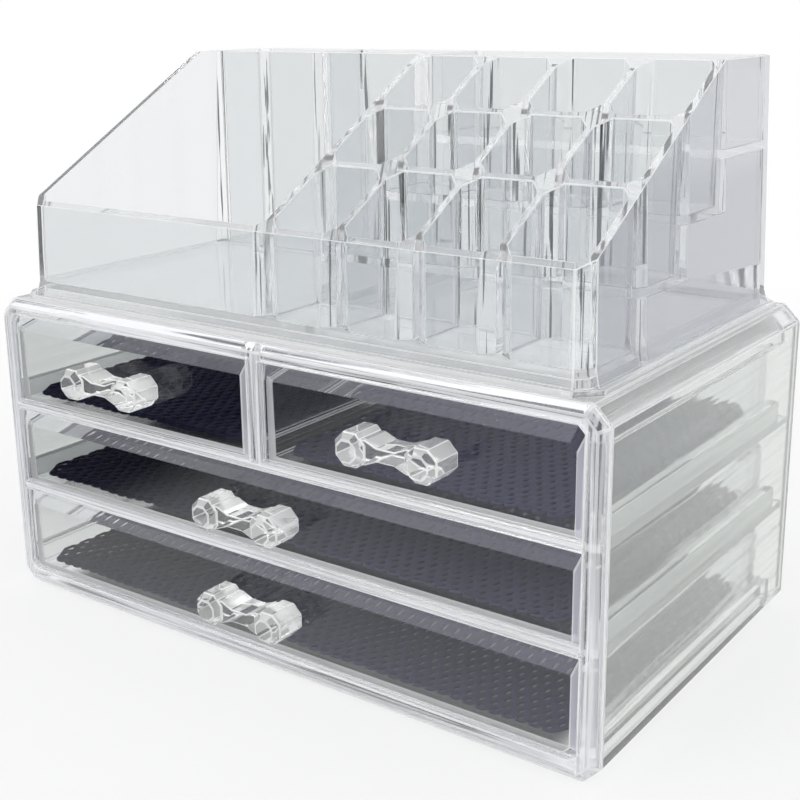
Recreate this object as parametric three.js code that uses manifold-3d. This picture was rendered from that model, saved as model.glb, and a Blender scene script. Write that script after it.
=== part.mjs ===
// Clear makeup organizer: a drawer case with four drawers, and a lift-off tray with lipstick wells.
// Millimetres, +Z up. The origin is the middle of the case's underside and the drawers face -Y.

import * as THREE from 'three';
import { mergeVertices } from 'three/addons/utils/BufferGeometryUtils.js';
import Module from 'manifold-3d';

const wasm = await Module();
wasm.setup();

// Drawer case, outside
const caseWidth = 240;
const caseDepth = 140;
const edgeChamfer = 5.5;        // the four long edges of the case
const wall = 3;                 // sleeve and back panel
const jointGap = 0.3;           // between bonded or resting pieces

// Front frame round the drawer openings
const frameDepth = 3.3;
const frameBevel = 2.6;
const openingCorner = 2.4;      // cut-off corners of the openings, beside the case's own
const sideRim = 6.3;
const bottomRim = 6.8;
const topRim = 5.4;

// Drawer rows, from the bottom up, and the shelves between them
const lowerOpening = 31.2;
const middleOpening = 28;
const upperOpening = 32.8;
const shelfThickness = 2.4;
const centrePost = 5;           // the upright between the two upper drawers
const dividerThickness = 3;
const guideHeight = 7.5;        // ribs beside each drawer box
const guideRound = 3;
const runnerWidth = 5;          // ledges under the lowest drawer

// Drawers
const drawerClearance = 0.4;
const frontThickness = 4;
const frontTopBevel = 4.8;
const frontEdgeBevel = 1.6;
const frontBevelDepth = 2;
const frontOverhang = 0.5;      // front plate past the box at each side
const boxDrop = 5.4;            // front plate above the box's rim
const drawerBackGap = 8.4;      // free space behind each closed drawer box
const boxWall = 2.4;
const boxFloor = 2;
const boxCorner = 3;
const boxDraft = 0.6;
const boxRimStep = 0.8;

// Handles
const postSpacing = 24.4;
const postLength = 12.5;
const postAcrossFlats = 10.4;
const postTip = 6.6;
const postTipDepth = 2;
const gripHeight = 4.2;
const gripFlare = 7.4;
const gripFlareRun = 4;
const gripSetback = 2.2;

// Mesh liners
const linerThickness = 1.2;
const linerMargin = 2;
const linerFrontMargin = 1;     // behind the drawer front
const linerCorner = 5;
const linerCurl = 1;            // how far its edges stand up
const linerCurlReach = 22;
const linerRipple = 0.3;
const rippleLength = 30;        // across the drawer
const rippleDepth = 37;         // front to back
const linerBorder = 3;
const linerStrand = 2.6;
const linerColumnPitch = 15.8;
const linerRowPitch = 13;

// Lift-off tray
const traySideSetback = 9.8;    // the tray's walls inside the case's faces
const trayFrontSetback = 7.8;
const trayBackSetback = 4.2;
const trayWall = 2.6;
const trayLean = 2.1;           // each outer wall's lean over its height
const trayCorner = 4.4;
const trayFloor = 2.5;
const footHeight = 5.6;
const footFlare = 1.4;
const footRing = 4;
const footRecess = 2.7;
const trayFrontHeight = 26.3;   // above the foot
const trayHeight = 75.7;        // above the foot
const flatTopStart = 23.8;      // where the side walls stop sloping
const seatRidgeHeight = 1.6;
const seatRidgeWidth = 1.8;
const seatClearance = 0.5;

// Tray compartments
const wellPitch = 27.6;
const wellWall = 2.2;
const wellCorner = 4.2;
const wellColumns = 4;
const wellRows = 3;
const wellStep = 16.4;
const wellBackLine = 25;        // middle of the wall behind the last row of wells
const rackLine = -2.5;          // middle of the wall left of the wells
const crossWallLine = 34.8;     // middle of the wall behind the large compartment
const brushWallLine = -55;      // middle of the wall between the brush compartments
const cellCorner = 3.4;

const overrun = 2;              // how far cutting solids run past what they cut
const mergeDistance = 0.0001;   // corners closer than this are one corner
const cutShrinkShare = 2 - Math.SQRT2;  // what a cut corner loses when its outline is drawn in

// Which corners of a bay are cut off: low left, low right, high right, high left
const bayCornerShares = {
  upper_left: [0, 0, 0, 1],
  upper_right: [0, 0, 1, 0],
  middle: [0, 0, 0, 0],
  lower: [1, 1, 0, 0],
};
const rearCornerShares = [0, 0, 1, 1];

// Derived levels and faces
const lowerShelfBase = bottomRim + lowerOpening;
const middleBase = lowerShelfBase + shelfThickness;
const upperShelfBase = middleBase + middleOpening;
const upperBase = upperShelfBase + shelfThickness;
const caseHeight = upperBase + upperOpening + topRim;
const halfWidth = caseWidth / 2;
const frontFace = -caseDepth / 2;
const backFace = caseDepth / 2;
const openingHalf = halfWidth - sideRim;
const sleeveFront = frontFace + frameDepth + jointGap;
const ribFront = frontFace + frontThickness + jointGap;
const backPanelFront = backFace - wall;
const innerBack = backPanelFront - jointGap;
const innerHalf = halfWidth - wall;
const boxLength = innerBack - drawerBackGap - ribFront;
const boxInset = drawerClearance + frontOverhang;
const guideFace = openingHalf - boxInset + drawerClearance;
const trayWidth = caseWidth - 2 * traySideSetback;
const trayFront = -frontFace - trayFrontSetback;
const trayBack = backFace - trayBackSetback;

const materials = {
  clear: new THREE.MeshStandardMaterial({
    color: 0xe9eef0, roughness: 0.04, metalness: 0, transparent: true, opacity: 0.32,
  }),
  handle: new THREE.MeshStandardMaterial({
    color: 0xf3f5f6, roughness: 0.02, metalness: 0, transparent: true, opacity: 0.5,
  }),
  liner: new THREE.MeshStandardMaterial({ color: 0x2b2c38, roughness: 0.75, metalness: 0 }),
};

// Solids and their joins and cuts

function solidOf(geometry) {
  geometry.deleteAttribute('normal');
  geometry.deleteAttribute('uv');
  const merged = mergeVertices(geometry, mergeDistance);
  return new wasm.Manifold(new wasm.Mesh({
    numProp: 3,
    vertProperties: new Float32Array(merged.attributes.position.array),
    triVerts: new Uint32Array(merged.index.array),
  }));
}

function geometryOf(solid) {
  const mesh = solid.getMesh();
  const geometry = new THREE.BufferGeometry();
  geometry.setAttribute('position', new THREE.BufferAttribute(new Float32Array(mesh.vertProperties), 3));
  geometry.setIndex(new THREE.BufferAttribute(new Uint32Array(mesh.triVerts), 1));
  geometry.computeVertexNormals();
  return geometry;
}

// A closed body through rings of equal length, counter-clockwise seen from its last ring
function loft(rings) {
  const positions = rings.flat(2);
  const count = rings[0].length;
  const index = [];
  for (let level = 0; level + 1 < rings.length; level += 1) {
    for (let i = 0; i < count; i += 1) {
      const here = level * count + i;
      const next = level * count + (i + 1) % count;
      index.push(here, next, next + count);
      index.push(here, next + count, here + count);
    }
  }
  const last = (rings.length - 1) * count;
  for (let i = 1; i + 1 < count; i += 1) {
    index.push(0, i + 1, i);
    index.push(last, last + i, last + i + 1);
  }
  const geometry = new THREE.BufferGeometry();
  geometry.setAttribute('position', new THREE.Float32BufferAttribute(positions, 3));
  geometry.setIndex(index);
  return solidOf(geometry);
}

// A box's plan with its corners cut off at 45 degrees, all alike or each by its own share
function cutPlan(box, cut, shares = [1, 1, 1, 1]) {
  const { x0, x1, y0, y1 } = box;
  const corners = [
    { x: x0, y: y0, into: [0, 1], out: [1, 0] },
    { x: x1, y: y0, into: [-1, 0], out: [0, 1] },
    { x: x1, y: y1, into: [0, -1], out: [-1, 0] },
    { x: x0, y: y1, into: [1, 0], out: [0, -1] },
  ];
  return corners.flatMap(({ x, y, into, out }, i) => {
    const size = cut * shares[i];
    if (size === 0) return [[x, y]];
    return [into, out].map(([u, v]) => [x + u * size, y + v * size]);
  });
}

function insetBox(box, by) {
  return { x0: box.x0 + by, x1: box.x1 - by, y0: box.y0 + by, y1: box.y1 - by };
}

// The same plan drawn in by a distance on every side, corners too
function drawnIn(box, cut, by) {
  return cutPlan(insetBox(box, by), cut - by * cutShrinkShare);
}

function ringAtHeight(plan, z) {
  return plan.map(([x, y]) => [x, y, z]);
}

function column(plan, z0, z1) {
  return loft([ringAtHeight(plan, z0), ringAtHeight(plan, z1)]);
}

function cutColumn(box, cut, z0, z1) {
  return column(cutPlan(box, cut), z0, z1);
}

function block(box, z0, z1) {
  const { x0, x1, y0, y1 } = box;
  return column([[x0, y0], [x1, y0], [x1, y1], [x0, y1]], z0, z1);
}

// An outline in X and Z, run along Y
function alongY(outline, y0, y1) {
  const shape = new THREE.Shape(outline.map(([x, z]) => new THREE.Vector2(x, z)));
  const geometry = new THREE.ExtrudeGeometry(shape, { depth: y1 - y0, bevelEnabled: false, steps: 1 });
  geometry.applyMatrix4(new THREE.Matrix4().set(1, 0, 0, 0, 0, 0, -1, y1, 0, 1, 0, 0, 0, 0, 0, 1));
  return solidOf(geometry);
}

// An outline in Y and Z, run along X
function alongX(outline, x0, x1) {
  const shape = new THREE.Shape(outline.map(([y, z]) => new THREE.Vector2(y, z)));
  const geometry = new THREE.ExtrudeGeometry(shape, { depth: x1 - x0, bevelEnabled: false, steps: 1 });
  geometry.applyMatrix4(new THREE.Matrix4().set(0, 0, 1, x0, 1, 0, 0, 0, 0, 1, 0, 0, 0, 0, 0, 1));
  return solidOf(geometry);
}

function named(name, solid, material) {
  const mesh = new THREE.Mesh(geometryOf(solid), material);
  mesh.name = name;
  return mesh;
}

// Drawer case

// The case's eight-sided outline in X and Z, drawn in by a distance on every side
function caseOutline(inset) {
  const box = { x0: -halfWidth, x1: halfWidth, y0: 0, y1: caseHeight };
  return drawnIn(box, edgeChamfer, inset);
}

// A guide rib on the right of a bay, with its front end rounded in plan
function guideRib(inner, outer, base, top) {
  const roundCentre = ribFront + guideRound;
  const plan = new THREE.Shape();
  plan.moveTo(outer, ribFront);
  plan.lineTo(outer, ribFront + boxLength);
  plan.lineTo(inner, ribFront + boxLength);
  plan.lineTo(inner, roundCentre);
  plan.absarc(inner + guideRound, roundCentre, guideRound, Math.PI, 1.5 * Math.PI, false);
  plan.closePath();
  const geometry = new THREE.ExtrudeGeometry(plan, {
    depth: top - base, bevelEnabled: false, steps: 1, curveSegments: 5,
  });
  geometry.translate(0, 0, base);
  return solidOf(geometry);
}

// A solid on the right together with its mirror image on the left
function mirroredPair(solid) {
  const twin = geometryOf(solid).scale(-1, 1, 1);
  const order = Array.from(twin.index.array);
  for (let i = 0; i < order.length; i += 3) {
    [order[i], order[i + 1]] = [order[i + 1], order[i]];
  }
  twin.setIndex(order);
  return solid.add(solidOf(twin));
}

// The low ridge on the case's top that keeps the tray's foot in place
function seatRidge() {
  const inside = drawnIn(wallBox(), trayCorner, -footFlare - seatClearance);
  const outside = drawnIn(wallBox(), trayCorner, -footFlare - seatClearance - seatRidgeWidth);
  const ring = column(outside, caseHeight - wall / 2, caseHeight + seatRidgeHeight);
  return ring.subtract(column(inside, caseHeight, caseHeight + seatRidgeHeight + overrun));
}

function caseSleeve() {
  const outer = alongY(caseOutline(0), sleeveFront, backFace);
  const bore = alongY(caseOutline(wall), sleeveFront - overrun, backFace + overrun);
  const rooted = innerHalf + wall / 2;
  const ribs = [
    guideRib(guideFace, rooted, wall / 2, bottomRim + guideHeight),
    guideRib(guideFace - runnerWidth, rooted, wall / 2, bottomRim),
    guideRib(guideFace, rooted, caseHeight - wall - guideHeight, caseHeight - wall / 2),
  ];
  const tube = outer.subtract(bore).add(seatRidge());
  return ribs.reduce((solid, rib) => solid.add(mirroredPair(rib)), tube).intersect(outer.add(seatRidge()));
}

function bay(name) {
  const high = upperBase + upperOpening;
  return {
    upper_left: { x0: -openingHalf, x1: -centrePost / 2, y0: upperBase, y1: high },
    upper_right: { x0: centrePost / 2, x1: openingHalf, y0: upperBase, y1: high },
    middle: { x0: -openingHalf, x1: openingHalf, y0: middleBase, y1: middleBase + middleOpening },
    lower: { x0: -openingHalf, x1: openingHalf, y0: bottomRim, y1: lowerShelfBase },
  }[name];
}

function caseFrontFrame() {
  const ringAtDepth = (outline, y) => outline.map(([x, z]) => [x, y, z]);
  const plate = loft([
    ringAtDepth(caseOutline(frameBevel), frontFace),
    ringAtDepth(caseOutline(0), frontFace + frameBevel),
    ringAtDepth(caseOutline(0), frontFace + frameDepth),
  ].reverse());
  const opening = (name) => alongY(
    cutPlan(bay(name), openingCorner, bayCornerShares[name]),
    frontFace - overrun,
    frontFace + frameDepth + overrun,
  );
  return Object.keys(bayCornerShares).reduce((solid, name) => solid.subtract(opening(name)), plate);
}

function caseBackPanel() {
  return alongY(caseOutline(wall + jointGap), backPanelFront, backFace);
}

function shelf(base) {
  const half = innerHalf - jointGap;
  const plate = block({ x0: -half, x1: half, y0: sleeveFront, y1: innerBack }, base, base + shelfThickness);
  const rib = guideRib(guideFace, half, base + shelfThickness / 2, base + shelfThickness + guideHeight);
  return plate.add(mirroredPair(rib));
}

// The upright wall between the upper drawers, with a guide foot along each side
function centreDivider() {
  const base = upperBase + jointGap;
  const half = dividerThickness / 2;
  const wallPlan = { x0: -half, x1: half, y0: sleeveFront, y1: innerBack };
  const upright = block(wallPlan, base, caseHeight - wall - jointGap);
  const foot = centrePost / 2 + boxInset - drawerClearance;
  const footPlan = { x0: -foot, x1: foot, y0: ribFront, y1: ribFront + boxLength };
  return upright.add(cutColumn(footPlan, foot - half, base, upperBase + guideHeight));
}

// Drawers, each built round the middle of its own front edge, with y = 0 at the front face

// The front's outline in X and Z, drawn in by a distance at the sides and bottom and by another at the top
function frontOutline(width, height, cornerShares, side, top) {
  const box = { x0: side - width / 2, x1: width / 2 - side, y0: side, y1: height - top };
  return cutPlan(box, openingCorner - drawerClearance * cutShrinkShare, cornerShares);
}

function drawerFront(width, height, cornerShares) {
  const ring = (side, top, y) => {
    return frontOutline(width, height, cornerShares, side, top).map(([x, z]) => [x, y, z]);
  };
  return loft([
    ring(0, 0, frontThickness),
    ring(0, 0, frontBevelDepth),
    ring(frontEdgeBevel, frontTopBevel, 0),
  ]);
}

// A floor with two sides and a back: the drawer front closes it, and its edges clear the opening's cut-off corners
function drawerBox(width, height, cornerShares) {
  const half = width / 2 - frontOverhang;
  const start = frontThickness + jointGap;
  const outerBox = { x0: -half, x1: half, y0: start, y1: start + boxLength };
  const rim = height - boxDrop;
  const openPlan = (inset) => {
    const box = { ...insetBox(outerBox, inset), y0: start - overrun };
    return cutPlan(box, boxCorner, rearCornerShares);
  };
  const hollow = loft([
    ringAtHeight(openPlan(boxWall + boxDraft), boxFloor),
    ringAtHeight(openPlan(boxWall), rim),
    ringAtHeight(openPlan(boxWall), rim + overrun),
  ]);
  const rimRebate = column(openPlan(boxWall - boxRimStep), rim - boxRimStep, rim + overrun);
  const opening = alongY(frontOutline(width, height, cornerShares, 0, 0), 0, outerBox.y1 + overrun);
  const body = column(cutPlan(outerBox, boxCorner, rearCornerShares), 0, rim).intersect(opening);
  return body.subtract(hollow).subtract(rimRebate);
}

// An eight-sided outline in X and Z round a centre, flat on top
function octagonRing(centreX, centreZ, acrossFlats, y) {
  const reach = acrossFlats / 2;
  const side = reach * Math.tan(Math.PI / 8);
  const corners = [
    [side, -reach], [reach, -side], [reach, side], [side, reach],
    [-side, reach], [-reach, side], [-reach, -side], [-side, -reach],
  ];
  return corners.map(([x, z]) => [centreX + x, y, centreZ + z]);
}

// Two cut-glass posts joined by a flared grip
function drawerHandle(centreZ) {
  const start = -jointGap;
  const post = (x) => loft([
    octagonRing(x, centreZ, postAcrossFlats, start),
    octagonRing(x, centreZ, postAcrossFlats, start - postLength + postTipDepth),
    octagonRing(x, centreZ, postTip, start - postLength),
  ]);
  const reach = postSpacing / 2;
  const neck = reach - postAcrossFlats / 2 - gripFlareRun;
  const flare = gripFlare / 2;
  const waist = gripHeight / 2;
  const grip = [
    [-reach, -flare], [-neck - gripFlareRun, -flare], [-neck, -waist], [neck, -waist],
    [neck + gripFlareRun, -flare], [reach, -flare], [reach, flare], [neck + gripFlareRun, flare],
    [neck, waist], [-neck, waist], [-neck - gripFlareRun, flare], [-reach, flare],
  ].map(([x, z]) => [x, centreZ + z]);
  const bar = alongY(grip, start - postLength + gripSetback, start);
  return post(-reach).add(post(reach)).add(bar);
}

// How far a liner stands off the drawer's floor at a place: curled edges and a slight ripple
function linerLift(box, x, y) {
  const edge = Math.min(x - box.x0, box.x1 - x, y - box.y0, box.y1 - y);
  const curl = Math.max(0, 1 - edge / linerCurlReach) ** 3;
  const wave = Math.sin(2 * Math.PI * x / rippleLength) * Math.sin(2 * Math.PI * y / rippleDepth);
  return linerCurl * curl + linerRipple * (1 + wave);
}

// A net of diamond openings with clipped corners
function drawerLiner(width) {
  const side = boxWall + boxDraft + linerMargin;
  const half = width / 2 - frontOverhang - side;
  const start = frontThickness + linerFrontMargin;
  const length = frontThickness + jointGap + boxLength - side - start;
  const box = { x0: -half, x1: half, y0: start, y1: start + length };
  const net = new THREE.Shape(cutPlan(box, linerCorner).map(([x, y]) => new THREE.Vector2(x, y)));
  const columns = Math.floor((2 * half - 2 * linerBorder) / linerColumnPitch);
  const rows = Math.floor((length - 2 * linerBorder) / linerRowPitch);
  const stepX = (2 * half - 2 * linerBorder) / columns;
  const stepY = (length - 2 * linerBorder) / rows;
  const reachX = (stepX - linerStrand) / 2;
  const reachY = (stepY - linerStrand) / 2;
  for (let i = 0; i < columns; i += 1) {
    for (let j = 0; j < rows; j += 1) {
      const x = -half + linerBorder + (i + 0.5) * stepX;
      const y = start + linerBorder + (j + 0.5) * stepY;
      const corners = [[x - reachX, y], [x, y + reachY], [x + reachX, y], [x, y - reachY]];
      net.holes.push(new THREE.Path(corners.map(([u, v]) => new THREE.Vector2(u, v))));
    }
  }
  const geometry = new THREE.ExtrudeGeometry(net, { depth: linerThickness, bevelEnabled: false, steps: 1 });
  const place = geometry.attributes.position;
  for (let i = 0; i < place.count; i += 1) {
    const lift = linerLift(box, place.getX(i), place.getY(i));
    place.setZ(i, place.getZ(i) + boxFloor + jointGap + lift);
  }
  return solidOf(geometry);
}

function drawer(name) {
  const { x0, x1, y0, y1 } = bay(name);
  const width = x1 - x0 - 2 * drawerClearance;
  const height = y1 - y0 - 2 * drawerClearance;
  const group = new THREE.Group();
  const cornerShares = bayCornerShares[name];
  group.add(named(`${name}_drawer_front`, drawerFront(width, height, cornerShares), materials.clear));
  group.add(named(`${name}_drawer_box`, drawerBox(width, height, cornerShares), materials.clear));
  group.add(named(`${name}_drawer_handle`, drawerHandle(height / 2), materials.handle));
  group.add(named(`${name}_drawer_liner`, drawerLiner(width), materials.liner));
  group.position.set((x0 + x1) / 2, frontFace, y0 + drawerClearance);
  return group;
}

// Lift-off tray, built with z = 0 at the underside of its foot

function wallBox() {
  return { x0: -trayWidth / 2, x1: trayWidth / 2, y0: -trayFront, y1: trayBack };
}

// The tray's outside, or its inside when drawn in by a wall
function trayBody(inset, base, top) {
  const low = insetBox(wallBox(), inset);
  const high = insetBox(low, trayLean * (top - footHeight) / trayHeight);
  const cut = trayCorner - inset * cutShrinkShare;
  return loft([
    ringAtHeight(cutPlan(low, cut), base),
    ringAtHeight(cutPlan(low, cut), footHeight),
    ringAtHeight(cutPlan(high, cut), top),
  ]);
}

function trayFoot() {
  const ring = (by, z) => ringAtHeight(drawnIn(wallBox(), trayCorner, by), z);
  return loft([ring(-footFlare / 2, 0), ring(-footFlare, footFlare / 2), ring(0, footHeight)]);
}

// Everything above the tray's sloping rims
function aboveRims() {
  const top = footHeight + trayHeight;
  const front = footHeight + trayFrontHeight;
  const slope = (top - front) / (flatTopStart + trayFront);
  const outline = [
    [-trayFront - overrun, front - slope * overrun], [flatTopStart, top],
    [trayBack + overrun, top], [trayBack + overrun, top + trayHeight], [-trayFront - overrun, top + trayHeight],
  ];
  return alongX(outline, -trayWidth, trayWidth);
}

// The plan of each compartment, with its floor's level
function compartments() {
  const outer = insetBox(wallBox(), trayWall);
  const half = wellWall / 2;
  const ground = footRecess + trayFloor;
  const rows = [];
  for (let row = 0; row < wellRows; row += 1) {
    const back = wellBackLine - row * wellPitch - half;
    const front = row === wellRows - 1 ? outer.y0 : back - wellPitch + wellWall;
    rows.push({ y0: front, y1: back, floor: ground + (wellRows - 1 - row) * wellStep });
  }
  const cells = [];
  for (let i = 0; i < wellColumns; i += 1) {
    const left = rackLine + i * wellPitch + half;
    const right = i === wellColumns - 1 ? outer.x1 : left + wellPitch - wellWall;
    for (const row of rows) {
      cells.push({ box: { x0: left, x1: right, y0: row.y0, y1: row.y1 }, cut: wellCorner, floor: row.floor });
    }
  }
  const behindWells = wellBackLine + half;
  const behindCross = crossWallLine + half;
  cells.push({
    box: { x0: outer.x0, x1: rackLine - half, y0: outer.y0, y1: crossWallLine - half },
    cut: cellCorner, floor: ground,
  });
  cells.push({
    box: { x0: outer.x0, x1: brushWallLine - half, y0: behindCross, y1: outer.y1 },
    cut: cellCorner, floor: ground,
  });
  cells.push({
    box: { x0: brushWallLine + half, x1: rackLine - half, y0: behindCross, y1: outer.y1 },
    cut: cellCorner, floor: ground,
  });
  cells.push({
    box: { x0: rackLine + half, x1: outer.x1, y0: behindWells, y1: outer.y1 },
    cut: cellCorner, floor: ground + wellRows * wellStep,
  });
  return cells;
}

// The space under the stepped wells, open below
function underStairs() {
  const outer = insetBox(wallBox(), trayWall);
  const half = wellWall / 2;
  let space = null;
  for (let step = 1; step <= wellRows; step += 1) {
    const front = wellBackLine - (wellRows - step) * wellPitch + half;
    const box = { x0: rackLine + half, x1: outer.x1, y0: front, y1: outer.y1 };
    const stair = cutColumn(box, cellCorner, -overrun, footRecess + step * wellStep);
    space = space === null ? stair : space.add(stair);
  }
  return space;
}

// Where the walls round that space stand on the case: they reach down through the foot's recess
function stairSkirt() {
  const outer = wallBox();
  const half = wellWall / 2;
  const front = wellBackLine - (wellRows - 1) * wellPitch - half;
  const box = { x0: rackLine - half, x1: outer.x1, y0: front, y1: outer.y1 };
  return cutColumn(box, cellCorner, 0, footRecess + overrun);
}

function upperTray() {
  const top = footHeight + trayHeight;
  const shell = trayFoot().add(trayBody(0, footHeight - footFlare / 2, top)).subtract(aboveRims());
  let hollow = underStairs();
  for (const cell of compartments()) {
    hollow = hollow.add(cutColumn(cell.box, cell.cut, cell.floor, top + overrun));
  }
  const inside = trayBody(trayWall, -overrun * 2, top + overrun * 2);
  const recess = column(drawnIn(wallBox(), trayCorner, footRing - footFlare), -overrun, footRecess);
  return shell.subtract(hollow.intersect(inside)).subtract(recess.subtract(stairSkirt()));
}

// Assembly

const group = new THREE.Group();

const drawerCase = new THREE.Group();
drawerCase.add(named('case_sleeve', caseSleeve(), materials.clear));
drawerCase.add(named('case_front_frame', caseFrontFrame(), materials.clear));
drawerCase.add(named('case_back_panel', caseBackPanel(), materials.clear));
drawerCase.add(named('lower_shelf', shelf(lowerShelfBase), materials.clear));
drawerCase.add(named('upper_shelf', shelf(upperShelfBase), materials.clear));
drawerCase.add(named('centre_divider', centreDivider(), materials.clear));
group.add(drawerCase);

for (const name of Object.keys(bayCornerShares)) {
  group.add(drawer(name));
}

const tray = named('upper_tray', upperTray(), materials.clear);
tray.position.z = caseHeight + jointGap;
group.add(tray);

export default group;
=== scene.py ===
import math

import bpy
from mathutils import Matrix, Vector


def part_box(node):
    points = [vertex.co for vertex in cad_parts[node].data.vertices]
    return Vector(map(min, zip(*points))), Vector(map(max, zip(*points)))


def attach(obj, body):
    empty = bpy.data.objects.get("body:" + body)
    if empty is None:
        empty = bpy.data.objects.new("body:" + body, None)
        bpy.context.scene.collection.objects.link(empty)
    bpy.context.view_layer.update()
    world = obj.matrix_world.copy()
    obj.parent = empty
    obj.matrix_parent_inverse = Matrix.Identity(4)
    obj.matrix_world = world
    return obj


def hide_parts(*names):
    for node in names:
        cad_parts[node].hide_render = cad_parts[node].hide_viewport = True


# A clear makeup organizer: a case of four drawers under a lift-off tray. Metres, +Z up.

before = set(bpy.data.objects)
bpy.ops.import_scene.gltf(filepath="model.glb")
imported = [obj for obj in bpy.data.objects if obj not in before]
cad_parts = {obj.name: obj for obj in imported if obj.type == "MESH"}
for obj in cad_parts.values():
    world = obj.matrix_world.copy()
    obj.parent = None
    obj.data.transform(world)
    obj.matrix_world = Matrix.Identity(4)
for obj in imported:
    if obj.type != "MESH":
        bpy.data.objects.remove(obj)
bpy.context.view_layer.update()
drawerNames = ["upper_left", "upper_right", "middle", "lower"]
print("frame loaded:", len(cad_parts), "nodes")


# Shader maths

class Sock:  # a socket that expressions can work on
    def __init__(self, graph, socket):
        self.graph = graph
        self.socket = socket

    def maths(self, operation, first, second):
        return self.graph.node("ShaderNodeMath", {"operation": operation}, {0: first, 1: second})

    def __add__(self, other):
        return self.maths("ADD", self, other)

    def __radd__(self, other):
        return self.maths("ADD", other, self)

    def __sub__(self, other):
        return self.maths("SUBTRACT", self, other)

    def __rsub__(self, other):
        return self.maths("SUBTRACT", other, self)

    def __mul__(self, other):
        return self.maths("MULTIPLY", self, other)

    def __rmul__(self, other):
        return self.maths("MULTIPLY", other, self)

    def __abs__(self):
        return self.graph.node("ShaderNodeMath", {"operation": "ABSOLUTE"}, {0: self})

    def atLeast(self, other):
        return self.maths("MAXIMUM", self, other)

    def atMost(self, other):
        return self.maths("MINIMUM", self, other)

    def part(self, axis):  # one coordinate of a vector
        return self.graph.node("ShaderNodeSeparateXYZ", {}, {0: self}, out=axis)


class Graph:  # the nodes of one material, or of the world
    def __init__(self, owner):
        owner.use_nodes = True
        self.tree = owner.node_tree
        self.tree.nodes.clear()

    def node(self, kind, settings=None, sockets=None, out=0):
        made = self.tree.nodes.new(kind)
        for key, value in (settings or {}).items():
            setattr(made, key, value)
        for key, value in (sockets or {}).items():
            if isinstance(value, Sock):
                self.tree.links.new(value.socket, made.inputs[key])
            else:
                made.inputs[key].default_value = value
        return Sock(self, made.outputs[out]) if len(made.outputs) else made


def dressed(name, build):  # a material whose surface is what build makes of its graph
    material = bpy.data.materials.new(name)
    g = Graph(material)
    g.node("ShaderNodeOutputMaterial", {}, {"Surface": build(g)})
    return material


def noise(g, place, scale, detail):
    return g.node("ShaderNodeTexNoise", {}, {"Vector": place, "Scale": scale, "Detail": detail})


def stretched(g, place, scale):
    return g.node("ShaderNodeMapping", {}, {"Vector": place, "Scale": scale})


def mixed(g, share, first, second):  # a colour between two
    return g.node("ShaderNodeMix", {"data_type": "RGBA"}, {0: share, 6: first, 7: second}, out=2)


def blended(g, share, first, second):  # a surface between two
    return g.node("ShaderNodeMixShader", {}, {0: share, 1: first, 2: second})


def bumped(g, height, depth):
    return g.node("ShaderNodeBump", {}, {"Height": height, "Distance": depth, "Strength": 1})


def rays(g, *kinds):
    return (g.node("ShaderNodeLightPath", out=kind) for kind in kinds)


def smoothStep(g, value, start, end):
    return g.node("ShaderNodeMapRange", {"interpolation_type": "SMOOTHSTEP"},
                  {"Value": value, "From Min": start, "From Max": end, "To Min": 0, "To Max": 1})


def fallStep(g, value, start, end):  # 1 below end and 0 above start
    return 1 - smoothStep(g, value, end, start)


def above(g, value, place, blur):
    return smoothStep(g, value, place - blur, place)


def below(g, value, place, blur):
    return fallStep(g, value, place + blur, place)


# Plastics: a clear body with a little haze, and paler rounded edges whose milky white is a painted
# highlight

plasticLook = {
    "tint": (0.985, 0.99, 0.992, 1),
    "sideTint": (0.98, 0.985, 0.988, 1),
    "rightPaintedShade": (0.98, 0.985, 0.988, 1),   # painted shade: sides further right than rightFrom
    "rightFrom": 1,
    "endTint": (0.985, 0.99, 0.992, 1),
    "ior": 1.47,
    "smooth": 0.01,
    "rough": 0.04,
    "lampTint": (0.95, 0.955, 0.96, 1),
    # milkiness, by the way that a face looks
    "milk": (0.90, 0.91, 0.93, 1),
    "milkWarm": (0.95, 0.95, 0.94, 1),
    "sideMilk": (0.9, 0.91, 0.92, 1),
    "milkRough": 0.25,
    "haze": 0.02,
    "sideHaze": 0.03,             # faces to the left and right
    "endHaze": 0.02,              # faces to the front and back, as far back as endTo
    "endTo": 1,
    "rimHaze": 0.02,              # rims and slopes that face up
    "rimSlope": 0.6,              # how far up such a face looks
    "rimFrom": 1,                 # level faces count as rims above this height
    "underHaze": 0.02,            # faces that look down
    "footTo": -1,                 # everything below this height has footHaze
    "footHaze": 0.2,
    # how far a face turns before it counts as one
    "sideTurn": (0.72, 0.77),
    "endTurn": (0.9, 0.97),
    "slopeTurn": (0.97, 0.93),
    "underTurn": (-0.5, -0.6),
    "cornerTurn": (0.3, 0.42),
    "rimBlend": 0.08,
    "maskBlur": 0.0005,
    # slow swells of the moulded faces, and clouds in the plastic
    "waveScale": 30,              # per metre
    "waveStretch": (1, 1, 1),
    "waveHeight": 0.00005,
    "waveDetail": 1.5,
    "cloudShare": 1.7,            # the clouds' scale in that of the swells
    "cloudDetail": 3,
    # painted shade: dark streaks down the upright corners, standing in for the dark refraction in them
    "paintedStreak": (0.6, 0.62, 0.63, 1),
    "streakScale": (800, 800, 16),
    "streakStep": (0.59, 0.63),
    # fine lines along the bars, and upright ones along the posts
    "lineDepth": 0,               # how much the lines change the haze
    "lineScale": (12, 500, 700),
    "lineStep": (0.42, 0.58),
    "lineDetail": 2,
    "postScale": (700, 500, 12),
    "postFrom": 0.1135,           # posts are further out than this, or nearer the middle than postTo
    "postTo": 0.0035,
    "postLow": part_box("centre_divider")[0].z,
    "postBlur": 0.001,
    # rounded edges
    "edge": 0.0003,
    "edgeSteps": 2,
    "sharp": math.radians(25),    # flatter edges stay as they are
}


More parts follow.
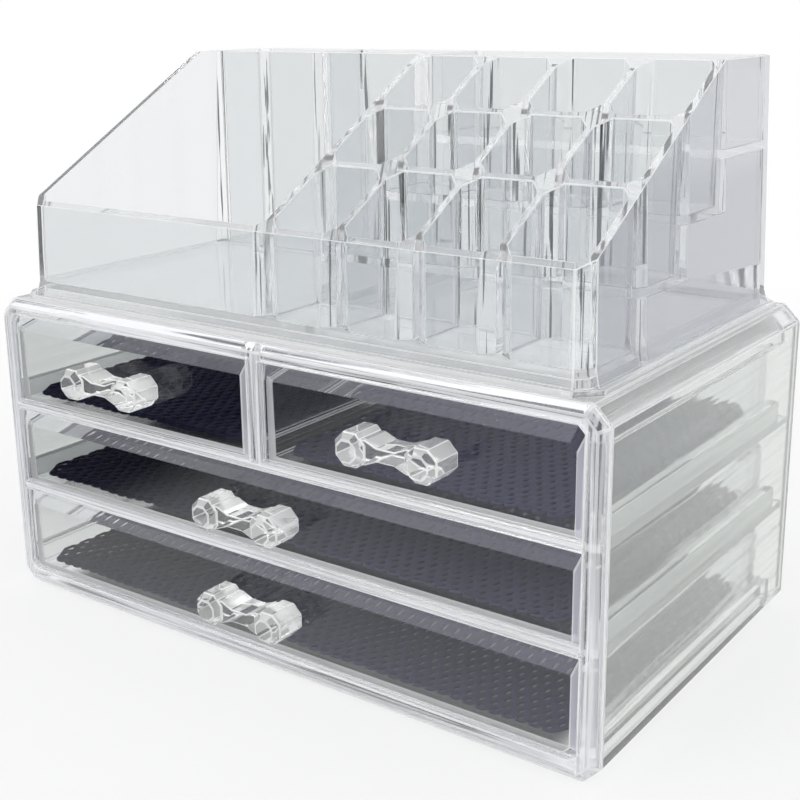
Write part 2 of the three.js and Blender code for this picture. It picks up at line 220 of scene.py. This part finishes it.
def drawnLines(g, look, place):
    blur = look["postBlur"]
    fromMiddle = abs(place.part("X"))
    outer = above(g, fromMiddle, look["postFrom"], blur)
    inner = above(g, place.part("Z"), look["postLow"], blur) * below(g, fromMiddle, look["postTo"], blur)
    along, upright = (noise(g, stretched(g, place, look[scale]), 1, look["lineDetail"])
                      for scale in ("lineScale", "postScale"))
    lines = along + (outer + inner) * (upright - along)
    return smoothStep(g, lines, *look["lineStep"]) * (2 * look["lineDepth"]) + (1 - look["lineDepth"])


def hazeOf(g, look, place):  # how milky the plastic is, and which faces are sides, ends and upright corners
    facing = g.node("ShaderNodeTexCoord", out="Normal")
    nx, ny, nz = (facing.part(axis) for axis in "XYZ")
    level = place.part("Z")
    blur = look["maskBlur"]
    side = smoothStep(g, abs(nx), *look["sideTurn"])
    end = smoothStep(g, abs(ny), *look["endTurn"])
    milkyEnd = end * below(g, place.part("Y"), look["endTo"], blur)
    sloped = fallStep(g, nz, *look["slopeTurn"]).atLeast(above(g, level, look["rimFrom"], blur))
    rim = smoothStep(g, nz, look["rimSlope"], look["rimSlope"] + look["rimBlend"]) * sloped
    under = fallStep(g, nz, *look["underTurn"])
    foot = below(g, level, look["footTo"], blur)
    base = look["haze"]
    haze = base + side * (look["sideHaze"] - base) + milkyEnd * (look["endHaze"] - base)
    haze = haze + rim * (look["rimHaze"] - base) + under * (look["underHaze"] - base)
    haze = haze + foot * (look["footHaze"] - haze)
    if look["lineDepth"]:
        haze = haze * drawnLines(g, look, place)
    return haze, side, end, smoothStep(g, abs(nx * ny), *look["cornerTurn"])


def plasticBody(look):
    def build(g):
        place = g.node("ShaderNodeTexCoord", out="Object")
        swell = noise(g, stretched(g, place, look["waveStretch"]), look["waveScale"], look["waveDetail"])
        cloud = noise(g, place, look["waveScale"] * look["cloudShare"], look["cloudDetail"])
        bump = bumped(g, swell, look["waveHeight"])
        roughness = cloud * (look["rough"] - look["smooth"]) + look["smooth"]
        haze, side, end, corner = hazeOf(g, look, place)
        # painted shade: dark streaks down the upright corners
        drawn = noise(g, stretched(g, place, look["streakScale"]), 1, look["lineDetail"])
        paintedStreak = corner * smoothStep(g, drawn, *look["streakStep"])
        # painted shade: faces further right are darker
        right = side * above(g, place.part("X"), look["rightFrom"], look["maskBlur"])
        body = mixed(g, side, look["tint"], look["sideTint"])
        for mask, tint in ((right, "rightPaintedShade"), (end, "endTint"), (paintedStreak, "paintedStreak")):
            body = mixed(g, mask, body, look[tint])
        clear = g.node("ShaderNodeBsdfPrincipled", {}, {
            "Base Color": body, "Roughness": roughness, "IOR": look["ior"],
            "Transmission Weight": 1, "Normal": bump,
        })
        pale = mixed(g, cloud, look["milk"], look["milkWarm"])
        milk = g.node("ShaderNodeBsdfPrincipled", {}, {
            "Base Color": mixed(g, side, pale, look["sideMilk"]), "Roughness": look["milkRough"],
            "IOR": look["ior"], "Normal": bump,
        })
        (lamp,) = rays(g, "Is Shadow Ray")
        through = g.node("ShaderNodeBsdfTransparent", {}, {"Color": look["lampTint"]})
        return blended(g, lamp, blended(g, haze, clear, milk), through)
    return build


trayLow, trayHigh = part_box("upper_tray")
trayFootTop = trayLow.z + 0.0056
trayRimBase = trayHigh.z - 0.0005
trayRightWall = trayHigh.x - 0.005
plasticKinds = {    # what each piece has of its own
    "drawer_front": {
        "ior": 1.4,
        "haze": 0.002, "sideHaze": 0.5, "endHaze": 0.002, "rimHaze": 0.12, "rimSlope": 0.28,
        # painted reflection: the lavender milk, heaviest on the side faces, stands in for the lavender
        # strip reflected along each front's side
        "milk": (0.80, 0.81, 0.95, 1), "milkWarm": (0.85, 0.85, 0.97, 1), "sideMilk": (0.82, 0.82, 0.93, 1),
    },
    "drawer_box": {
        "ior": 1.3, "rough": 0.08, "sideTint": (0.92, 0.925, 0.93, 1), "sideMilk": (0.3, 0.31, 0.305, 1),
        "haze": 0.003, "sideHaze": 0.01, "endHaze": 0.6, "endTo": -0.065, "underHaze": 0.003,
    },
    "case_sleeve": {
        "smooth": 0.03, "rough": 0.12, "lampTint": (0.85, 0.86, 0.86, 1),
        "sideTint": (0.90, 0.922, 0.90, 1), "sideMilk": (0.55, 0.58, 0.555, 1),
        "haze": 0.02, "sideHaze": 0.12, "endHaze": 0.7, "rimHaze": 0.3, "rimFrom": 0.105, "underHaze": 0.5,
        "waveScale": 1, "waveStretch": (20, 12, 160), "waveHeight": 0.0004,
        "lineDepth": 0.12, "lineScale": (10, 400, 400),
        "postScale": (500, 8, 500), "postFrom": 0.105, "postTo": -1,
    },
    "front_frame": {
        "edge": 0.0005, "milk": (0.92, 0.93, 0.985, 1), "milkWarm": (0.96, 0.965, 0.99, 1),
        "haze": 0.25, "sideHaze": 0.45, "endHaze": 0.35, "rimHaze": 0.85, "underHaze": 0.05,
        "lineDepth": 0.9,
    },
    "back_panel": {"haze": 0.06, "endHaze": 0.06, "rough": 0.1, "milk": (0.6, 0.61, 0.61, 1)},
    "shelf": {"haze": 0.02, "sideHaze": 0.4, "endHaze": 0.85},
    "divider": {"haze": 0.03, "sideHaze": 0.02, "endHaze": 0.7},
    "tray": {
        "ior": 1.3, "sideTint": (0.90, 0.91, 0.92, 1), "endTint": (0.87, 0.885, 0.89, 1),
        # painted shade: the tray's right wall darker than the rest
        "rightPaintedShade": (0.60, 0.605, 0.64, 1), "rightFrom": trayRightWall,
        "haze": 0.04, "sideHaze": 0.04, "endHaze": 0.05, "rimHaze": 0.15, "rimFrom": trayRimBase,
        # painted shade: near-black streaks on the tray's upright corners
        "footTo": trayFootTop, "sideMilk": (0.72, 0.74, 0.76, 1), "paintedStreak": (0.04, 0.045, 0.05, 1),
    },
    "handle": {
        "ior": 1.2, "rough": 0.01, "milkRough": 0.1, "milk": (0.97, 0.97, 0.95, 1), "waveHeight": 0,
        "haze": 0.06, "sideHaze": 0.2, "endHaze": 0.06, "rimHaze": 0.45, "underHaze": 0.02,
        "edge": 0.0004, "sharp": math.radians(40),
    },
}
edgeKinds = {    # the rounded edges' milky plastic, a painted highlight along them, on the handles and everywhere else
    "handle_edges": {
        "haze": 0.6, "sideHaze": 0.7, "endHaze": 0.6, "rimHaze": 0.9, "underHaze": 0.15,
        "milk": (0.97, 0.97, 0.97, 1), "sideMilk": (0.97, 0.97, 0.97, 1),
    },
    "edges": {
        "haze": 0.6, "sideHaze": 0.6, "endHaze": 0.6, "rimHaze": 0.6, "underHaze": 0.4,
        "milk": (0.95, 0.955, 0.98, 1), "sideMilk": (0.95, 0.955, 0.98, 1),
    },
}
weldGap = 0.00001
plastics = {kind: dressed("clear_" + kind, plasticBody({**plasticLook, **own}))
            for kind, own in {**plasticKinds, **edgeKinds}.items()}


def roundEdges(piece, look):
    weld = piece.modifiers.new("joined corners", "WELD")
    weld.merge_threshold = weldGap
    soften = piece.modifiers.new("rounded edges", "BEVEL")
    soften.width = look["edge"]
    soften.segments = look["edgeSteps"]
    soften.use_clamp_overlap = False
    soften.limit_method = "ANGLE"
    soften.angle_limit = look["sharp"]
    soften.material = 1    # the edges' milky plastic, a painted highlight, is the second


for name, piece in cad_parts.items():
    if name.endswith("_liner"):
        continue
    kind = next(kind for kind in plasticKinds if kind in name)
    piece.data.materials.clear()
    piece.data.materials.append(plastics[kind])
    piece.data.materials.append(plastics["handle_edges" if kind == "handle" else "edges"])
    roundEdges(piece, {**plasticLook, **plasticKinds[kind]})
print("plastic pieces dressed")


# Mesh liners: a foamed net laid in each drawer

foamLook = {
    # dark and light: the net's colour runs from dark to light towards the right, front and bottom, a
    # painted reflection
    "dark": (0.006, 0.007, 0.024, 1),
    "light": (0.064, 0.065, 0.115, 1),
    "paintedReflectionFrom": -0.09,      # painted reflection: the net is lighter towards the right, front and bottom, and darkest at the back left
    "paintedReflectionTo": 0.03,
    "backShare": 0.5,       # how much a step back counts there, against one to the left
    "grainScale": 900,
    "grainDetail": 4,
    "grainDepth": 0.00004,
    "grainShare": 0.4,      # how much of the colour is grain
    "grainBase": 0.8,
    "rough": 0.6,
    "sheen": 0.02,
}


def foamNet(look):
    def build(g):
        place = g.node("ShaderNodeTexCoord", out="Object")
        grain = noise(g, place, look["grainScale"], look["grainDetail"])
        # painted reflection: the net lighter towards the right, front and bottom, flecked with grain
        toFront = place.part("X") - place.part("Y") * look["backShare"] - place.part("Z")
        pale = smoothStep(g, toFront, look["paintedReflectionFrom"], look["paintedReflectionTo"])
        pale = pale * (grain * look["grainShare"] + look["grainBase"])
        return g.node("ShaderNodeBsdfPrincipled", {}, {
            "Base Color": mixed(g, pale, look["dark"], look["light"]), "Roughness": look["rough"],
            "Specular IOR Level": look["sheen"], "Normal": bumped(g, grain, look["grainDepth"]),
        })
    return build


foam = dressed("liner_mesh", foamNet(foamLook))
net = {
    "columnPitch": 0.0044,
    "rowPitch": 0.0073,
    "holeShares": (0.28, 0.42),     # a hole's width and length in a diamond's
    "laceShares": (0.42, 0.52),     # the same along the left and right edges
    "thick": 0.0011,
    "ringShares": [                 # a hole's wall: place from hole to rim, and height in thicknesses
        (1, 0), (0.35, 0.03), (0, 0.3), (0, 0.7), (0.35, 0.97), (1, 1),
    ],
    "inset": 1.1,                   # quarter diamonds from the outermost corners in to the outline
    "corner": 0.006,                # clipped corners
    "lift": 0.001,                  # how far the edges curl up
    "liftReach": 0.022,
    "ripple": 0.0003,
    "rippleLength": 0.030,
    "rippleDepth": 0.037,
    "setback": 0.005,               # from the drawer's front face to the net
}
diamond = 4    # the net is laid out in quarters of a diamond, as are the points round its rim
halfDiamond = 2
rimPoints = [(-2, 0), (-1, -1), (0, -2), (1, -1), (2, 0), (1, 1), (0, 2), (-1, 1)]


def netLift(x, y, low, high, look):  # the height that the net's edges curl to at a place
    edge = min(x - low.x, high.x - x, y - low.y, high.y - y)
    curl = max(0, 1 - edge / look["liftReach"]) ** 3
    across = (x - (low.x + high.x) / 2) / look["rippleLength"]
    along = (y - low.y + look["setback"]) / look["rippleDepth"]
    wave = math.sin(2 * math.pi * across) * math.sin(2 * math.pi * along)
    return look["lift"] * curl + look["ripple"] * (1 + wave)


class Net:  # the points and faces of one net, as its diamonds are added
    def __init__(self, low, high, look):
        self.low = low
        self.high = high
        self.look = look
        self.spanX = diamond * round((high.x - low.x) / look["columnPitch"])
        self.spanY = diamond * round((high.y - low.y) / look["rowPitch"])
        self.stepX = (high.x - low.x) / (self.spanX - 2 * look["inset"])
        self.stepY = (high.y - low.y) / (self.spanY - 2 * look["inset"])
        self.points = []
        self.faces = []
        self.shared = {}
        self.borders = {}

    def toCorner(self, i, j):  # how far a diamond's middle is from the nearest corner, along the edges
        inset = self.look["inset"]
        return ((min(i, self.spanX - i) - inset) * self.stepX
                + (min(j, self.spanY - j) - inset) * self.stepY)

    def point(self, i, j, height, key):  # rims of neighbouring diamonds share their points
        if key in self.shared:
            return self.shared[key]
        inset = self.look["inset"]
        i = min(max(i, inset), self.spanX - inset)
        j = min(max(j, inset), self.spanY - inset)
        x = self.low.x + (i - inset) * self.stepX
        y = self.low.y + (j - inset) * self.stepY
        lift = netLift(x, y, self.low, self.high, self.look)
        self.points.append((x, y, self.low.z + height * self.look["thick"] + lift))
        if key:
            self.shared[key] = len(self.points) - 1
        return len(self.points) - 1

    def addDiamond(self, i, j):
        shares = self.look["laceShares" if min(i, self.spanX - i) < diamond else "holeShares"]
        holeX, holeY = (halfDiamond * share for share in shares)
        rings = []
        for level, (share, height) in enumerate(self.look["ringShares"]):
            ring = []
            for u, v in rimPoints:
                size = math.hypot(u, v)
                holeU = u / size * holeX
                holeV = v / size * holeY
                key = (i + u, j + v, level) if share == 1 else None
                place = (i + holeU + (u - holeU) * share, j + holeV + (v - holeV) * share)
                ring.append(self.point(*place, height, key))
            rings.append(ring)
        around = [(k, (k + 1) % len(rimPoints)) for k in range(len(rimPoints))]
        for lower, upper in zip(rings, rings[1:]):
            for k, n in around:
                self.faces.append((upper[k], upper[n], lower[n], lower[k]))
        for k, n in around:    # a side that two diamonds share needs no wall
            side = frozenset((rings[0][k], rings[0][n]))
            wall = (rings[0][k], rings[0][n], rings[-1][n], rings[-1][k])
            self.borders[side] = None if side in self.borders else wall

    def mesh(self, name):
        for i in range(halfDiamond, self.spanX, halfDiamond):
            for j in range(halfDiamond, self.spanY, halfDiamond):
                if (i + j) % diamond == 0 and self.toCorner(i, j) >= self.look["corner"]:
                    self.addDiamond(i, j)
        walls = [wall for wall in self.borders.values() if wall]
        made = bpy.data.meshes.new(name)
        made.from_pydata(self.points, [], self.faces + walls)
        made.shade_smooth()
        return made


for name in drawerNames:
    low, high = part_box(name + "_drawer_liner")
    liner = bpy.data.objects.new(name + "_mesh_liner", Net(low, high, net).mesh(name + "_mesh_liner"))
    bpy.context.scene.collection.objects.link(liner)
    liner.data.materials.append(foam)
    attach(liner, name + "_drawer")
    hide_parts(name + "_drawer_liner")
    print(liner.name, "faces", len(liner.data.polygons))
print("liners laid")


# Camera

camera = {
    "azimuth": math.radians(36.33),
    "elevation": math.radians(15.06),
    "roll": math.radians(-0.76),
    "distance": 0.45622,
    "aim": Vector((0, 0.0013, 0.09)),
    "lens": 58.88,
    "sensor": 36,
    "shiftX": 0.0130,
    "shiftY": -0.0585,
    "nearest": 0.01,
}


def placeCamera(look):
    azimuth, elevation, roll = look["azimuth"], look["elevation"], look["roll"]
    back = Vector((math.sin(azimuth) * math.cos(elevation), -math.cos(azimuth) * math.cos(elevation),
                   math.sin(elevation)))
    level = Vector((math.cos(azimuth), math.sin(azimuth), 0))
    up = back.cross(level)
    right = level * math.cos(roll) + up * math.sin(roll)
    data = bpy.data.cameras.new("camera")
    data.lens = look["lens"]
    data.sensor_width = look["sensor"]
    data.shift_x = look["shiftX"]
    data.shift_y = look["shiftY"]
    data.clip_start = look["nearest"]
    seen = bpy.data.objects.new("camera", data)
    turn = Matrix((right, back.cross(right), back)).transposed().to_4x4()
    seen.matrix_world = Matrix.Translation(look["aim"] + back * look["distance"]) @ turn
    bpy.context.scene.collection.objects.link(seen)
    bpy.context.scene.camera = seen


placeCamera(camera)
print("camera placed")


# Studio

white = (1, 1, 1, 1)
floorLook = {
    "size": 6,
    "drop": 0.0003,              # below the case's underside
    "paper": (0.86, 0.86, 0.865, 1),
    "nearGlow": 0.7,             # how much of the paper the camera sees as plain white, near the object
    "glowFrom": 0.2,
    "glowTo": 0.7,
    "frontFrom": -0.12,          # the floor ahead of the object, as the plastic mirrors it
    "frontTo": -0.2,
    "frontMirror": 0.8,
    "darkPatchFrom": -0.11,           # painted reflection: a dark patch on the left of that floor, seen only in the plastic's mirror images
    "darkPatchTo": -0.18,
    "darkPatchNear": -0.10,
    "darkPatchFar": -0.135,
    "darkPatchMirror": 0.03,
    "underTone": 0.12,           # the floor in the case's own shade, seen through the plastic
    "underHalf": (0.098, 0.062),
    "underEdge": 0.012,
}


def floorPaper(look):
    def build(g):
        place = g.node("ShaderNodeTexCoord", out="Object")
        x, y = (place.part(axis) for axis in "XY")
        away = g.node("ShaderNodeVectorMath", {"operation": "LENGTH"}, {0: place}, out="Value")
        direct, mirror, through, mirrors = rays(
            g, "Is Camera Ray", "Is Glossy Ray", "Is Transmission Ray", "Glossy Depth")
        front = fallStep(g, y, look["frontFrom"], look["frontTo"])
        # painted reflection: a dark patch that only the plastic's mirror images show
        paintedDarkPatch = (fallStep(g, x, look["darkPatchFrom"], look["darkPatchTo"])
                * fallStep(g, y, look["darkPatchNear"], look["darkPatchFar"]))
        mirrorTone = (1 - front * (1 - look["frontMirror"])) * (1 - paintedDarkPatch * (1 - look["darkPatchMirror"]))
        inX, inY = (below(g, abs(value), half, look["underEdge"])
                    for value, half in zip((x, y), look["underHalf"]))
        tone = ((1 - mirrors.atMost(1) * (1 - mirrorTone))
                * (1 - through * inX * inY * (1 - look["underTone"])))
        far = smoothStep(g, away, look["glowFrom"], look["glowTo"])
        seen = direct * (far * (1 - look["nearGlow"]) + look["nearGlow"])
        optical = mirror.atLeast(through) * (1 - direct)
        paper = g.node("ShaderNodeBsdfDiffuse", {}, {"Color": look["paper"]})
        glow = g.node("ShaderNodeEmission", {}, {"Color": white, "Strength": tone})
        return blended(g, seen + optical, paper, glow)
    return build


def layFloor(look):
    size = look["size"]
    mesh = bpy.data.meshes.new("floor")
    corners = [(-size, -size, 0), (size, -size, 0), (size, size, 0), (-size, size, 0)]
    mesh.from_pydata(corners, [], [(0, 1, 2, 3)])
    mesh.materials.append(dressed("floor", floorPaper(look)))
    floor = bpy.data.objects.new("floor", mesh)
    floor.location.z = -look["drop"]
    bpy.context.scene.collection.objects.link(floor)


roomLook = {
    "light": 0.85,
    "front": 0.6,                # the room ahead of the object, as the plastic mirrors it
    "frontTurn": (0.1, -0.4),    # where it begins and is full, by the direction's Y
    "lowTurn": (0.6, 0.25),      # and by its Z
}


def buildRoom(look):
    world = bpy.data.worlds.new("studio")
    bpy.context.scene.world = world
    g = Graph(world)
    towards = g.node("ShaderNodeTexCoord", out="Generated")
    direct, mirror, through = rays(g, "Is Camera Ray", "Is Glossy Ray", "Is Transmission Ray")
    front = (fallStep(g, towards.part("Y"), *look["frontTurn"])
             * fallStep(g, towards.part("Z"), *look["lowTurn"]))
    strength = look["light"] - mirror * front * (look["light"] - look["front"])
    light = g.node("ShaderNodeBackground", {}, {"Color": white, "Strength": strength})
    plain = g.node("ShaderNodeBackground", {}, {"Color": white, "Strength": 1})
    g.node("ShaderNodeOutputWorld", {}, {"Surface": blended(g, direct.atLeast(through), light, plain)})


lamps = {
    "key": {"place": (-0.7, -0.9, 1.3), "aim": (0, 0, 0.08), "size": 0.8, "power": 5},
    "side": {"place": (1.2, 0.1, 0.7), "aim": (0, 0, 0.08), "size": 0.7, "power": 2},
}


def hangLamp(name, look):
    data = bpy.data.lights.new(name, "AREA")
    data.size = look["size"]
    data.energy = look["power"]
    light = bpy.data.objects.new(name, data)
    place = Vector(look["place"])
    turn = (Vector(look["aim"]) - place).to_track_quat("-Z", "Y").to_matrix().to_4x4()
    light.matrix_world = Matrix.Translation(place) @ turn
    bpy.context.scene.collection.objects.link(light)


lightPaths = {
    "max_bounces": 32,
    "transmission_bounces": 32,
    "transparent_max_bounces": 32,
    "glossy_bounces": 8,
}
layFloor(floorLook)
buildRoom(roomLook)
for name, lamp in lamps.items():
    hangLamp(name, lamp)
for name, bounces in lightPaths.items():
    setattr(bpy.context.scene.cycles, name, bounces)
bpy.context.scene.view_settings.view_transform = "Standard"
print("studio lit")
